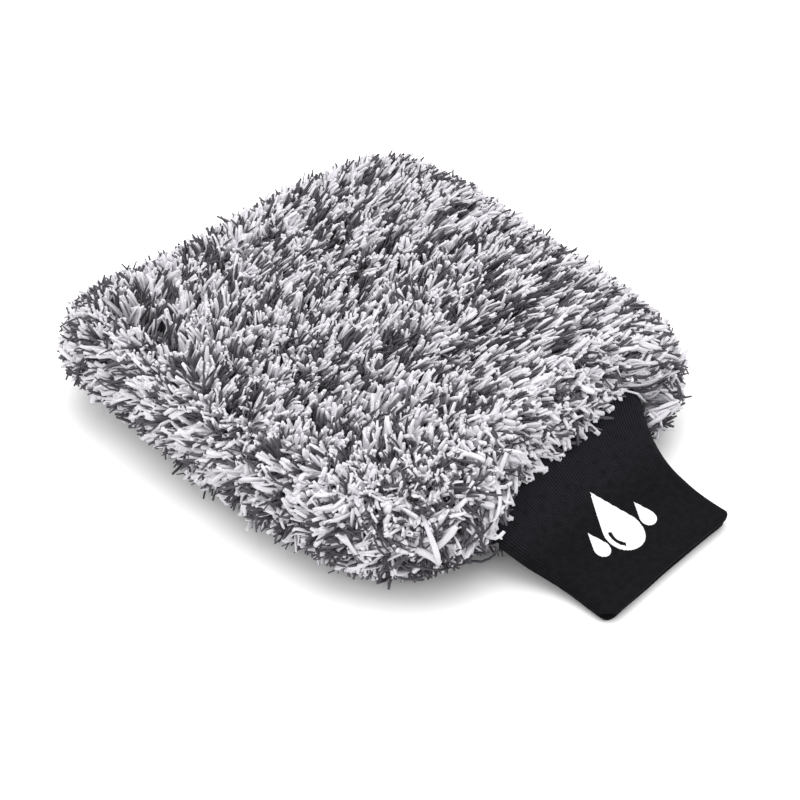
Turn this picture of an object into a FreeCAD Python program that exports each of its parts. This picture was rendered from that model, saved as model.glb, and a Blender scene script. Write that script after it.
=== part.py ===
"""Wash mitt: two panels of plush pile sewn into a hand pocket, with a double rib knit cuff.

Row frame, millimetres: +Z up, +Y toward the fingertips, the cuff points along -Y.
The origin is under the middle of the whole mitt, on the surface that it lies on.
Every layer is a half pillow above or below the seam plane, one nested in the next.
"""
import FreeCAD, Part
import math
import os
import Sketcher

V = FreeCAD.Vector
TOLERANCE = 1e-4        # edges within this of straight up or level count as such
OVERRUN = 1.0           # how far a stitch's bar runs past the wall that trims it

DIMENSIONS = {
    # plan of the plush body
    "finger_width": 235.0,
    "wrist_width": 217.0,
    "fingertip_reach": 146.0,
    "wrist_reach": 94.0,
    "corner_radius": 58.0,
    # heights
    "seam_height": 27.0,
    "top_height": 58.0,
    "crown_radius": 27.0,
    "sole_radius": 20.0,
    # layers, from the outside in
    "pile_depth": 20.0,
    "wrist_pile_extra": 3.0,
    "layer_gap": 0.2,
    "ground_thickness": 1.2,
    "ground_shoulder": 8.0,
    "foam_thickness": 5.0,
    "foam_margin": 9.2,
    "foam_edge": 2.0,
    "lining_thickness": 0.8,
    "lining_shoulder": 4.0,
    "pocket_half_height": 5.0,
    # throat in the wrist end, in which the cuff swings
    "hinge_reach": 72.0,
    "throat_radius": 9.8,
    "throat_width": 99.0,
    "throat_reach": 102.0,
    "rest_slope": 24.0,
    "open_slope": 21.0,
    # cuff
    "knit_ply": 1.0,
    "ply_gap": 0.3,
    "fold_reach": 145.0,
    "side_seam_offset": 11.0,
    "cuff_stitch_radius": 0.35,
    "cuff_stitch_pitch": 5.0,
    # print
    "print_thickness": 0.25,
    "print_clearance": 0.03,
    "print_centre": 6.0,
    "print_reach": 117.0,
    "print_floor": 11.3,
    "drop_radius": 9.0,
    "drop_length": 28.0,
    "small_drop_radius": 3.6,
    "small_drop_length": 11.5,
    "small_drop_spacing": 14.0,
    # seam threads
    "body_stitch_radius": 0.45,
    "body_stitch_length": 6.0,
    "body_stitch_pitch": 9.0,
    "lining_stitch_radius": 0.3,
    "lining_stitch_length": 3.0,
    "lining_stitch_pitch": 9.0,
    "join_stitch_radius": 0.45,
    "join_stitch_pitch": 6.0,
    "join_stitch_reach": 60.5,
    "join_stitch_span": 90.0,
}

# Cuff stations from the seam to the free end: distance from the origin along -Y,
# width, thickness, height of the middle, and sideways drift toward +X.
CUFF_STATIONS = [
    (72.0, 92.0, 18.0, 27.0, 2.0),
    (84.0, 88.0, 16.0, 21.0, 3.5),
    (98.0, 85.5, 14.0, 14.0, 6.0),
    (116.0, 85.0, 12.0, 8.2, 8.0),
    (146.0, 84.0, 10.5, 5.25, 10.0),
]
STATION_FIELDS = ("reach", "width", "thick", "rise", "drift")
STATION_NAMES = ("root", "throat", "slope", "bend", "end")

doc = FreeCAD.newDocument("wash_mitt")
sheet = doc.addObject("Spreadsheet::Sheet", "Dimensions")


def fill_sheet():
    """Write every driving dimension as a plain number with its alias."""
    rows = dict(DIMENSIONS)
    for name, station in zip(STATION_NAMES, CUFF_STATIONS):
        for field, number in zip(STATION_FIELDS, station):
            rows["cuff_%s_%s" % (name, field)] = number
    for row, (alias, number) in enumerate(rows.items(), start=1):
        sheet.set("A%d" % row, alias)
        sheet.set("B%d" % row, str(number))
        sheet.setAlias("B%d" % row, alias)
    doc.recompute()


def value(alias):
    return float(sheet.get(alias))


def cell(alias):
    return "Dimensions." + alias


def total(*aliases):
    """Expression that adds the named cells; a leading minus subtracts one."""
    text = ""
    for alias in aliases:
        sign = " - " if alias.startswith("-") else " + "
        text += sign + cell(alias.lstrip("-"))
    return text.lstrip(" +")


def add_up(*aliases):
    """The same sum as total(), as a number."""
    result = 0.0
    for alias in aliases:
        result += -value(alias[1:]) if alias.startswith("-") else value(alias)
    return result


def camel(label):
    """Object name for a node: rib_knit_cuff gives RibKnitCuff."""
    return "".join(word.capitalize() for word in label.split("_"))


def plane(body, role):
    for feature in body.Origin.OriginFeatures:
        if feature.Role == role:
            return feature
    raise ValueError("no origin plane " + role)


def new_sketch(body, name, role):
    sketch = body.newObject("Sketcher::SketchObject", name)
    sketch.AttachmentSupport = [(plane(body, role), "")]
    sketch.MapMode = "FlatFace"
    return sketch


def segment(start, end):
    return Part.LineSegment(V(start[0], start[1], 0), V(end[0], end[1], 0))


def bind(sketch, kind, where, number, name, expression):
    """Add a dimension constraint and tie it to the sheet."""
    index = sketch.addConstraint(Sketcher.Constraint(kind, *where, number))
    sketch.renameConstraint(index, name)
    sketch.setExpression("Constraints." + name, expression)


# ---------------------------------------------------------------- half pillows

def outline(sketch, inset):
    """Four straight sides, wider at the fingertips, inset by the named cells."""
    wrist_inset = inset + ("wrist_pile_extra",) if inset else inset
    front = value("fingertip_reach") - add_up(*inset)
    back = value("wrist_reach") - add_up(*wrist_inset)
    half_front = value("finger_width") / 2 - add_up(*inset)
    half_back = value("wrist_width") / 2 - add_up(*inset)
    corners = [(-half_front, front), (half_front, front), (half_back, -back), (-half_back, -back)]
    for index, corner in enumerate(corners):
        sketch.addGeometry(segment(corner, corners[(index + 1) % len(corners)]))
    for index in range(len(corners)):
        following = (index + 1) % len(corners)
        sketch.addConstraint(Sketcher.Constraint("Coincident", index, 2, following, 1))
    sketch.addConstraint(Sketcher.Constraint("Symmetric", 0, 1, 0, 2, -2))
    sketch.addConstraint(Sketcher.Constraint("Symmetric", 2, 1, 2, 2, -2))
    taken = " - 2 * (%s)" % total(*inset) if inset else ""
    bind(sketch, "DistanceX", (0, 1, 0, 2), 2 * half_front, "FrontWidth", cell("finger_width") + taken)
    bind(sketch, "DistanceX", (2, 2, 2, 1), 2 * half_back, "BackWidth", cell("wrist_width") + taken)
    taken = " - (%s)" % total(*inset) if inset else ""
    bind(sketch, "DistanceY", (-1, 1, 0, 1), front, "FrontReach", cell("fingertip_reach") + taken)
    taken = " - (%s)" % total(*wrist_inset) if inset else ""
    bind(sketch, "DistanceY", (2, 1, -1, 1), back, "BackReach", cell("wrist_reach") + taken)


def upright_edges(shape):
    """Names of the edges that run straight up."""
    names = []
    for index, edge in enumerate(shape.Edges, start=1):
        box = edge.BoundBox
        if box.XLength < TOLERANCE and box.YLength < TOLERANCE:
            names.append("Edge%d" % index)
    return names


def rim_edges(shape, height):
    """Names of the edges that lie flat at the given height."""
    names = []
    for index, edge in enumerate(shape.Edges, start=1):
        box = edge.BoundBox
        if box.ZLength < TOLERANCE and abs(box.ZMax - height) < TOLERANCE:
            names.append("Edge%d" % index)
    return names


def half_pillow(name, inset, base, rise, shoulder, side):
    """Slab with rounded corners and one rounded rim, growing up (side 1) or down (side -1).

    base and rise are tuples of cells: how far the slab starts from the seam plane,
    and how thick it is. shoulder is the tuple for the rim's radius.
    """
    body = doc.addObject("PartDesign::Body", name)
    sketch = new_sketch(body, name + "Outline", "XY_Plane")
    outline(sketch, inset)
    sign = " + " if side > 0 else " - "
    lift = sign + "(%s)" % total(*base) if base else ""
    sketch.setExpression("AttachmentOffset.Base.z", cell("seam_height") + lift)
    slab = body.newObject("PartDesign::Pad", name + "Slab")
    slab.Profile = sketch
    slab.setExpression("Length", total(*rise))
    slab.Reversed = side < 0
    doc.recompute()
    corners = body.newObject("PartDesign::Fillet", name + "Corners")
    corners.Base = (slab, upright_edges(slab.Shape))
    taken = " - (%s)" % total(*inset) if inset else ""
    corners.setExpression("Radius", cell("corner_radius") + taken)
    doc.recompute()
    far = value("seam_height") + side * (add_up(*base) + add_up(*rise))
    rim = body.newObject("PartDesign::Fillet", name + "Rim")
    rim.Base = (corners, rim_edges(corners.Shape, far))
    rim.setExpression("Radius", total(*shoulder))
    doc.recompute()
    return body


def cut(name, base, tool):
    feature = doc.addObject("Part::Cut", name)
    feature.Base = base
    feature.Tool = tool
    return feature


def make_throat():
    """Wedge with a round back: the room that the cuff needs from rest to fully raised."""
    body = doc.addObject("PartDesign::Body", "Throat")
    sketch = new_sketch(body, "ThroatProfile", "YZ_Plane")
    hinge = V(-value("hinge_reach"), value("seam_height"), 0)
    radius = value("throat_radius")
    reach = value("throat_reach")
    low = math.radians(value("rest_slope"))
    high = math.radians(value("open_slope"))
    low_end = hinge + V(radius * math.sin(low), -radius * math.cos(low), 0)
    high_end = hinge + V(radius * math.sin(high), radius * math.cos(high), 0)
    low_out = V(-reach, low_end.y - (low_end.x + reach) * math.tan(low), 0)
    high_out = V(-reach, high_end.y + (high_end.x + reach) * math.tan(high), 0)
    back = hinge + V(radius, 0, 0)
    sketch.addGeometry(Part.Arc(low_end, back, high_end))
    sketch.addGeometry(Part.LineSegment(low_out, low_end))
    sketch.addGeometry(Part.LineSegment(high_end, high_out))
    sketch.addGeometry(Part.LineSegment(high_out, low_out))
    sketch.addConstraint(Sketcher.Constraint("Tangent", 1, 2, 0, 1))
    sketch.addConstraint(Sketcher.Constraint("Tangent", 0, 2, 2, 1))
    sketch.addConstraint(Sketcher.Constraint("Coincident", 2, 2, 3, 1))
    sketch.addConstraint(Sketcher.Constraint("Coincident", 3, 2, 1, 1))
    sketch.addConstraint(Sketcher.Constraint("Vertical", 3))
    bind(sketch, "DistanceX", (0, 3, -1, 1), value("hinge_reach"), "HingeReach", cell("hinge_reach"))
    bind(sketch, "DistanceY", (-1, 1, 0, 3), value("seam_height"), "HingeHeight", cell("seam_height"))
    bind(sketch, "Radius", (0,), radius, "BackRadius", cell("throat_radius"))
    bind(sketch, "DistanceX", (1, 1, -1, 1), reach, "OuterReach", cell("throat_reach"))
    bind(sketch, "Angle", (1,), low, "RestSlope", cell("rest_slope") + " * 1 deg")
    bind(sketch, "Angle", (2,), math.pi - high, "OpenSlope",
         "(180 - %s) * 1 deg" % cell("open_slope"))
    wedge = body.newObject("PartDesign::Pad", "ThroatWedge")
    wedge.Profile = sketch
    wedge.Midplane = True
    wedge.setExpression("Length", cell("throat_width"))
    doc.recompute()
    return body


# Layers stacked from the seam plane outward, and insets from the outline inward
LINING_TOP = ("pocket_half_height", "lining_thickness")
GROUND_UNDER = LINING_TOP + ("layer_gap", "foam_thickness", "layer_gap")
GROUND_TOP = GROUND_UNDER + ("ground_thickness",)
PILE_UNDER = GROUND_TOP + ("layer_gap",)
GROUND_INSIDE = ("pile_depth", "ground_thickness")
LINING_OUTSIDE = GROUND_INSIDE + ("layer_gap",)
LINING_INSIDE = LINING_OUTSIDE + ("lining_thickness",)


def make_shell(label, outer, inner, throat, side):
    """One sewn or knitted layer: outer half pillow less the inner one and the throat."""
    name = camel(label)
    outside = half_pillow(name + "Outside", *outer, side)
    inside = half_pillow(name + "Inside", *inner, side)
    hollow = cut(name + "Hollow", outside, inside)
    layer = cut(name, hollow, throat)
    layer.Label = label
    return layer


def make_foam(label, side):
    """Flat pad between the lining and the ground fabric, smaller than the pocket all round."""
    base = LINING_TOP + ("layer_gap",)
    inset = ("pile_depth", "foam_margin")
    foam = half_pillow(camel(label), inset, base, ("foam_thickness",), ("foam_edge",), side)
    foam.Label = label
    return foam


def make_layers(word, side, throat):
    """Pile, ground fabric, foam pad and lining of the upper or the lower panel."""
    full_rise = ("top_height", "-seam_height") if side > 0 else ("seam_height",)
    full_rim = ("crown_radius",) if side > 0 else ("sole_radius",)
    pile = make_shell(word + "_pile",
                      ((), (), full_rise, full_rim),
                      (("pile_depth", "-layer_gap"), (), PILE_UNDER, ("ground_shoulder", "layer_gap")),
                      throat, side)
    ground = make_shell(word + "_ground_fabric",
                        (("pile_depth",), (), GROUND_TOP, ("ground_shoulder",)),
                        (GROUND_INSIDE, (), GROUND_UNDER, ("ground_shoulder", "-ground_thickness")),
                        throat, side)
    foam = make_foam(word + "_foam_pad", side)
    lining = make_shell(word + "_lining",
                        (LINING_OUTSIDE, (), LINING_TOP, ("lining_shoulder",)),
                        (LINING_INSIDE, (), ("pocket_half_height",),
                         ("lining_shoulder", "-lining_thickness")),
                        throat, side)
    return [pile, ground, foam, lining]


# ------------------------------------------------------------------ seam threads

def rounded_outline(inset):
    """Plan outline of a layer as a wire at seam height, corners rounded, for laying stitches."""
    wrist_inset = inset + value("wrist_pile_extra")
    front = value("fingertip_reach") - inset
    back = -(value("wrist_reach") - wrist_inset)
    half_front = value("finger_width") / 2 - inset
    half_back = value("wrist_width") / 2 - inset
    height = value("seam_height")
    points = [V(-half_front, front, height), V(half_front, front, height),
              V(half_back, back, height), V(-half_back, back, height)]
    wire = Part.makePolygon(points + points[:1])
    core_inset = value("corner_radius") - inset
    core = wire.makeOffset2D(-core_inset, join=2)
    return core.makeOffset2D(core_inset, join=0)


def stitch(position, radius, length):
    """One stitch of thread, standing across the seam plane."""
    return Part.makeCylinder(radius, length, position - V(0, 0, length / 2), V(0, 0, 1))


def add_threads(label, stitches):
    feature = doc.addObject("Part::Feature", camel(label))
    feature.Label = label
    feature.Shape = Part.makeCompound(stitches)
    return feature


def make_perimeter_threads(label, inset, radius, length, pitch):
    """Stitches all round a layer's rim, except across the wrist mouth."""
    wire = rounded_outline(inset)
    count = int(wire.Length / pitch)
    mouth = value("throat_width") / 2 + 2 * radius
    stitches = []
    for point in wire.discretize(Number=count + 1)[:-1]:
        if point.y < 0 and abs(point.x) < mouth:
            continue
        stitches.append(stitch(point, radius, length))
    return add_threads(label, stitches)


def make_join_threads():
    """Stitches that tack lining, pad and ground fabric together along both lips of the mouth."""
    radius = value("join_stitch_radius")
    low = value("pocket_half_height") - value("layer_gap")
    high = add_up(*GROUND_TOP) - value("layer_gap") / 2
    span = value("join_stitch_span")
    count = int(span / value("join_stitch_pitch"))
    stitches = []
    for side in (1, -1):
        height = value("seam_height") + side * (low + high) / 2
        for index in range(count + 1):
            across = -span / 2 + span * index / count
            place = V(across, -value("join_stitch_reach"), height)
            stitches.append(stitch(place, radius, high - low))
    return add_threads("cuff_join_seam_thread", stitches)


# -------------------------------------------------------------------------- cuff

def slot_section(body, name, station, shrink, reach=None):
    """Flat oval section of the cuff at one station, shrunk all round by the named cells."""
    tag = "cuff_" + station + "_"
    sketch = new_sketch(body, name, "XZ_Plane")
    where = cell(reach) if reach else cell(tag + "reach")
    sketch.setExpression("AttachmentOffset.Base.z", where)
    less = add_up(*shrink)
    width = value(tag + "width") - 2 * less
    thick = value(tag + "thick") - 2 * less
    centre = V(value(tag + "drift"), value(tag + "rise"), 0)
    radius = thick / 2
    half = width / 2 - radius
    up = V(0, radius, 0)
    across = V(half, 0, 0)
    sketch.addGeometry(Part.LineSegment(centre - across + up, centre + across + up))
    sketch.addGeometry(Part.Arc(centre + across + up, centre + across + V(radius, 0, 0),
                                centre + across - up))
    sketch.addGeometry(Part.LineSegment(centre + across - up, centre - across - up))
    sketch.addGeometry(Part.Arc(centre - across - up, centre - across - V(radius, 0, 0),
                                centre - across + up))
    # an arc always runs anticlockwise, so its first point is its lower or upper end by turns
    sketch.addConstraint(Sketcher.Constraint("Tangent", 0, 2, 1, 2))
    sketch.addConstraint(Sketcher.Constraint("Tangent", 1, 1, 2, 1))
    sketch.addConstraint(Sketcher.Constraint("Tangent", 2, 2, 3, 2))
    sketch.addConstraint(Sketcher.Constraint("Tangent", 3, 1, 0, 1))
    sketch.addConstraint(Sketcher.Constraint("Horizontal", 0))
    less_text = " - 2 * (%s)" % total(*shrink) if shrink else ""
    bind(sketch, "DistanceX", (3, 3, 1, 3), 2 * half, "Straight",
         "%s - %s" % (cell(tag + "width"), cell(tag + "thick")))
    bind(sketch, "DistanceY", (2, 1, 0, 2), thick, "Thickness", cell(tag + "thick") + less_text)
    bind(sketch, "DistanceY", (-1, 1, 1, 3), centre.y, "Rise", cell(tag + "rise"))
    bind(sketch, "DistanceX", (-1, 1, 1, 3), half + centre.x, "Side",
         "%s + (%s - %s) / 2" % (cell(tag + "drift"), cell(tag + "width"), cell(tag + "thick")))
    return sketch


def loft(body, kind, name, shrink, last_reach=None):
    """Smooth loft through every station, added to the body or taken from it."""
    sections = []
    for station in STATION_NAMES:
        reach = last_reach if station == STATION_NAMES[-1] else None
        sections.append(slot_section(body, name + station.capitalize(), station, shrink, reach))
    feature = body.newObject("PartDesign::" + kind, name)
    feature.Profile = sections[0]
    feature.Sections = sections[1:]
    doc.recompute()
    return feature


def make_cuff():
    """Rib knit tube folded back on itself at its free end, so that its wall is two plies."""
    body = doc.addObject("PartDesign::Body", "RibKnitCuff")
    loft(body, "AdditiveLoft", "OuterFace", ())
    loft(body, "SubtractiveLoft", "OuterPlyInside", ("knit_ply",), "fold_reach")
    loft(body, "AdditiveLoft", "InnerPly", ("knit_ply", "ply_gap"), "fold_reach")
    loft(body, "SubtractiveLoft", "Bore", ("knit_ply", "ply_gap", "knit_ply"))
    body.Label = "rib_knit_cuff"
    return body


def cuff_envelope(name, shrink):
    body = doc.addObject("PartDesign::Body", name)
    loft(body, "AdditiveLoft", name + "Face", shrink)
    return body


def make_side_seam_threads(outside, bore):
    """Stitches through the lower wall where the knit tube is closed, trimmed to the wall."""
    wall = outside.Shape.cut(bore.Shape)
    first = value("cuff_throat_reach")
    last = value("fold_reach") - value("cuff_stitch_pitch")
    count = int((last - first) / value("cuff_stitch_pitch"))
    stitches = []
    for index in range(count + 1):
        reach = first + (last - first) * index / count
        middle = station_height(reach)
        bar = Part.makeCylinder(value("cuff_stitch_radius"), middle + OVERRUN,
                                V(-value("side_seam_offset"), -reach, -OVERRUN), V(0, 0, 1))
        stitches.extend(bar.common(wall).Solids)
    return add_threads("cuff_side_seam_thread", stitches)


def station_height(reach):
    """Height of the cuff's middle at a distance along -Y, between the stations."""
    for near, far in zip(STATION_NAMES, STATION_NAMES[1:]):
        start = value("cuff_%s_reach" % near)
        end = value("cuff_%s_reach" % far)
        if start <= reach <= end:
            share = (reach - start) / (end - start)
            low = value("cuff_%s_rise" % near)
            return low + share * (value("cuff_%s_rise" % far) - low)
    raise ValueError("outside the cuff")


def make_drop(name, radius, length, offset):
    """Prism with a water drop outline: a round belly and two tangents that meet at the tip."""
    body = doc.addObject("PartDesign::Body", name)
    sketch = new_sketch(body, name + "Outline", "XY_Plane")
    size = value(radius)
    tip_rise = value(length) - size
    centre = V(value("print_centre") + offset * value("small_drop_spacing"),
               -value("print_reach"), 0)
    tip = centre + V(0, tip_rise, 0)
    lean = math.asin(size / tip_rise)
    touch = V(size * math.cos(lean), size * math.sin(lean), 0)
    right = centre + touch
    left = centre + V(-touch.x, touch.y, 0)
    sketch.addGeometry(Part.Arc(left, centre - V(0, size, 0), right))
    sketch.addGeometry(Part.LineSegment(right, tip))
    sketch.addGeometry(Part.LineSegment(tip, left))
    sketch.addConstraint(Sketcher.Constraint("Tangent", 0, 2, 1, 1))
    sketch.addConstraint(Sketcher.Constraint("Coincident", 1, 2, 2, 1))
    sketch.addConstraint(Sketcher.Constraint("Tangent", 2, 2, 0, 1))
    sketch.addConstraint(Sketcher.Constraint("Vertical", 0, 3, 1, 2))
    bind(sketch, "Radius", (0,), size, "Belly", cell(radius))
    bind(sketch, "DistanceY", (0, 3, 1, 2), tip_rise, "Tip", "%s - %s" % (cell(length), cell(radius)))
    bind(sketch, "DistanceY", (0, 3, -1, 1), -centre.y, "Reach", cell("print_reach"))
    side = "%s + %d * %s" % (cell("print_centre"), offset, cell("small_drop_spacing"))
    if centre.x > 0:
        bind(sketch, "DistanceX", (-1, 1, 0, 3), centre.x, "Side", side)
    else:
        bind(sketch, "DistanceX", (0, 3, -1, 1), -centre.x, "Side", "-(%s)" % side)
    sketch.setExpression("AttachmentOffset.Base.z", cell("print_floor"))
    prism = body.newObject("PartDesign::Pad", name + "Prism")
    prism.Profile = sketch
    prism.setExpression("Length", cell("seam_height"))
    doc.recompute()
    return body


def make_print():
    """Three generic water drops printed on the upper face of the cuff."""
    skin_face = cuff_envelope("PrintFace", ("-print_clearance", "-print_thickness"))
    lift = cuff_envelope("PrintUnderside", ("-print_clearance",))
    skin = cut("PrintSkin", skin_face, lift)
    drops = doc.addObject("Part::MultiFuse", "Drops")
    drops.Shapes = [
        make_drop("LargeDrop", "drop_radius", "drop_length", 0),
        make_drop("LeftDrop", "small_drop_radius", "small_drop_length", -1),
        make_drop("RightDrop", "small_drop_radius", "small_drop_length", 1),
    ]
    mark = doc.addObject("Part::Common", "CuffPrint")
    mark.Base = skin
    mark.Tool = drops
    mark.Label = "cuff_print"
    return mark


# ----------------------------------------------------------------- check and write

def check(nodes):
    for item in doc.Objects:
        if "Invalid" in item.State or "Error" in item.State:
            raise RuntimeError("%s failed: %s" % (item.Name, item.State))
    for node in nodes:
        if node.Shape.isNull() or not node.Shape.isValid():
            raise RuntimeError("bad shape: " + node.Label)
        if not node.Shape.Solids:
            raise RuntimeError("no solid: " + node.Label)


def write(nodes):
    os.makedirs("parts", exist_ok=True)
    for node in nodes:
        node.Shape.exportStep("parts/%s.step" % node.Label)
        box = node.Shape.BoundBox
        print("%-24s solids %3d  volume %9.1f  x %7.1f %7.1f  y %7.1f %7.1f  z %6.2f %6.2f" % (
            node.Label, len(node.Shape.Solids), node.Shape.Volume,
            box.XMin, box.XMax, box.YMin, box.YMax, box.ZMin, box.ZMax))


fill_sheet()
throat = make_throat()
nodes = make_layers("upper", 1, throat) + make_layers("lower", -1, throat)
nodes.append(make_perimeter_threads(
    "perimeter_seam_thread", add_up("pile_depth") + value("ground_thickness") / 2,
    value("body_stitch_radius"), value("body_stitch_length"), value("body_stitch_pitch")))
nodes.append(make_perimeter_threads(
    "lining_seam_thread", add_up(*LINING_OUTSIDE) + value("lining_thickness") / 2,
    value("lining_stitch_radius"), value("lining_stitch_length"), value("lining_stitch_pitch")))
nodes.append(make_join_threads())
nodes.append(make_cuff())
outside = cuff_envelope("CuffOutside", ())
bore = cuff_envelope("CuffBore", ("knit_ply", "ply_gap", "knit_ply"))
nodes.append(make_side_seam_threads(outside, bore))
nodes.append(make_print())
doc.recompute()
check(nodes)
write(nodes)
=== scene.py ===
import math

import bpy
import numpy as np
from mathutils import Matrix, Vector


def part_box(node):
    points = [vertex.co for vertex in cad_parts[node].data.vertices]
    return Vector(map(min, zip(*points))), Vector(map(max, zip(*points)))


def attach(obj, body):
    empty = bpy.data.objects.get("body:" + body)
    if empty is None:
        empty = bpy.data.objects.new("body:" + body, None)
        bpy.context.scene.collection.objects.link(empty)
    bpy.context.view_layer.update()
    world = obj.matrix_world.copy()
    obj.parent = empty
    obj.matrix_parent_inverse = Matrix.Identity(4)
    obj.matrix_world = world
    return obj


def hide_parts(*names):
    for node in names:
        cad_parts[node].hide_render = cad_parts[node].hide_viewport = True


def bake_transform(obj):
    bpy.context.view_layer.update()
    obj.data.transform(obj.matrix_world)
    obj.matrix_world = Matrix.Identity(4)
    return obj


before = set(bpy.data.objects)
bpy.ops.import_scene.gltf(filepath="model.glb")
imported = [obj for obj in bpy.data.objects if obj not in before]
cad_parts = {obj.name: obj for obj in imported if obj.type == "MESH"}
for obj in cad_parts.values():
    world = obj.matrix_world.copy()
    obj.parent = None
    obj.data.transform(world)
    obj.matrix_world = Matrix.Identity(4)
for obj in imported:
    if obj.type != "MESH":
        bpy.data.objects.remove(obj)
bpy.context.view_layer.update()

MM = 0.001
UP = np.array([0.0, 0.0, 1.0])

# ------------------------------------------------------------------ sizes read from the frame
UPPER_LOW, UPPER_HIGH = (np.array(corner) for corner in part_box("upper_pile"))
CUFF_LOW, CUFF_HIGH = (np.array(corner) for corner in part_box("rib_knit_cuff"))
SEAM_Z = UPPER_LOW[2]
TOP_Z = UPPER_HIGH[2]
HALF_WIDTH = UPPER_HIGH[0]
TIP_Y = UPPER_HIGH[1]
WRIST_Y = UPPER_LOW[1]
CUFF_ROOT_Y = CUFF_HIGH[1]
CUFF_END_Y = CUFF_LOW[1]
CUFF_TURNED_Y = CUFF_ROOT_Y - 20 * MM    # beyond this the cuff turns as one

# ------------------------------------------------------------------ shape of the plush body
WRIST_WIDTH_SHARE = 0.92        # wrist end against fingertip end
CORNER_RADIUS = 58 * MM
SHARP_RADIUS = 34 * MM          # the fingertip corner that lies a little flatter
SIDE_SHIFT = -1.0 * MM
SIDE_FULLNESS = 0.4 * MM        # the strands' surface stands this far past the solid's side
TIP_SHORTNESS = 2.4 * MM        # and this far short of its tip
# Dents in the outline: where, which way in, how deep and how wide.
DENTS = [((-0.117, 0.098), (1.0, -0.15), 5.5 * MM, 36 * MM),
         ((0.022, 0.144), (0.0, -1.0), 1.6 * MM, 45 * MM)]
OUTLINE_STEPS = 1600
OUTLINE_SMOOTHING = 41
CROWN_RUN = 30 * MM             # how far the upper rim's rounding runs inward
SOLE_RUN = 24 * MM
TUCKED_CORNER = (-0.118, 0.106)  # the fingertip corner whose lower edge is tucked in
TUCK = 34 * MM
TIGHTER = 11 * MM
TUCK_SPREAD = 48 * MM
LIFTED_CORNER = (-0.064, -0.092)  # the wrist corner that hangs clear of the floor
LIFT = 18 * MM
LIFT_SPREAD = 40 * MM
NOTCH = 12.5 * MM               # how far the upper pile stands back from the cuff
NOTCH_CORNER = 6.5 * MM         # and how much further at the cuff's right corner
PRESSED = 6.0 * MM              # strands that the cuff would push further are left out


def circular_mean(values, window):
    """Moving average round a closed line."""
    half = window // 2
    wrapped = np.concatenate([values[-half:], values, values[:half]])
    kernel = np.ones(window) / window
    columns = [np.convolve(wrapped[:, k], kernel, mode="valid") for k in range(values.shape[1])]
    return np.stack(columns, 1)


def plan_outline():
    """Closed plan outline of the plush body and its outward normals, evenly spaced."""
    front = HALF_WIDTH + SIDE_FULLNESS
    back = front * WRIST_WIDTH_SHARE
    tip = TIP_Y - TIP_SHORTNESS
    corners = [(front, tip, CORNER_RADIUS), (-front, tip, SHARP_RADIUS),
               (-back, WRIST_Y, CORNER_RADIUS), (back, WRIST_Y, CORNER_RADIUS)]
    points = []
    for index, (x, y, r) in enumerate(corners):
        centre_x = x - math.copysign(r, x)
        centre_y = y - math.copysign(r, y)
        for turn in np.linspace(0, math.pi / 2, 60):
            angle = turn + index * math.pi / 2
            points.append((centre_x + r * math.cos(angle), centre_y + r * math.sin(angle)))
    points = np.array(points + points[:1])
    reach = np.concatenate([[0], np.cumsum(np.linalg.norm(np.diff(points, axis=0), axis=1))])
    even = np.linspace(0, reach[-1], OUTLINE_STEPS, endpoint=False)
    line = np.stack([np.interp(even, reach, points[:, k]) for k in range(2)], 1)
    line = circular_mean(line, OUTLINE_SMOOTHING)
    line[:, 0] += SIDE_SHIFT
    for place, towards, depth, width in DENTS:
        near = np.exp(-(np.linalg.norm(line - np.array(place), axis=1) / width) ** 2)
        line += np.array(towards) * (depth * near)[:, None]
    along = np.roll(line, -1, 0) - np.roll(line, 1, 0)
    along /= np.linalg.norm(along, axis=1)[:, None]
    outward = np.stack([along[:, 1], -along[:, 0]], 1)
    return line, outward, reach[-1]


OUTLINE, OUTWARD, GIRTH = plan_outline()


def at_outline(share):
    """Point and outward normal at a share of the way round."""
    place = (share % 1.0) * OUTLINE_STEPS
    low = place.astype(int) % OUTLINE_STEPS
    high = (low + 1) % OUTLINE_STEPS
    part = (place - np.floor(place))[:, None]
    return (OUTLINE[low] * (1 - part) + OUTLINE[high] * part,
            OUTWARD[low] * (1 - part) + OUTWARD[high] * part)


def inset_of(plan):
    """Distance from plan points inside the outline to it."""
    best = np.full(len(plan), np.inf)
    for start in range(0, OUTLINE_STEPS, 4):
        best = np.minimum(best, np.linalg.norm(plan - OUTLINE[start], axis=1))
    return best


def inside_outline(plan):
    """Whether plan points lie inside the outline, by counting crossings."""
    x, y = plan[:, 0], plan[:, 1]
    inside = np.zeros(len(plan), bool)
    corners = OUTLINE[::8]
    for a, b in zip(corners, np.roll(corners, -1, 0)):
        crosses = (a[1] > y) != (b[1] > y)
        if crosses.any():
            at_x = a[0] + (y - a[1]) / (b[1] - a[1] + 1e-12) * (b[0] - a[0])
            inside ^= crosses & (x < at_x)
    return inside


# ------------------------------------------------------------------ smooth fields
def step_between(low, high, values):
    """0 below low, 1 above high, smooth between."""
    t = np.clip((values - low) / (high - low), 0, 1)
    return t * t * (3 - 2 * t)


def wave_field(seed, scale, count=10):
    """A smooth random function of plan position, about -1 to 1."""
    rng = np.random.default_rng(seed)
    angle = rng.uniform(0, 2 * math.pi, count)
    pace = rng.uniform(0.5, 1.6, count) * 2 * math.pi / scale
    phase = rng.uniform(0, 2 * math.pi, count)
    gain = rng.uniform(0.5, 1.0, count)
    gain /= np.sqrt((gain ** 2).sum() / 2)

    def field(plan):
        total = np.zeros(len(plan))
        for k in range(count):
            run = plan[:, 0] * math.cos(angle[k]) + plan[:, 1] * math.sin(angle[k])
            total += gain[k] * np.sin(run * pace[k] + phase[k])
        return total * 0.6
    return field


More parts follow.
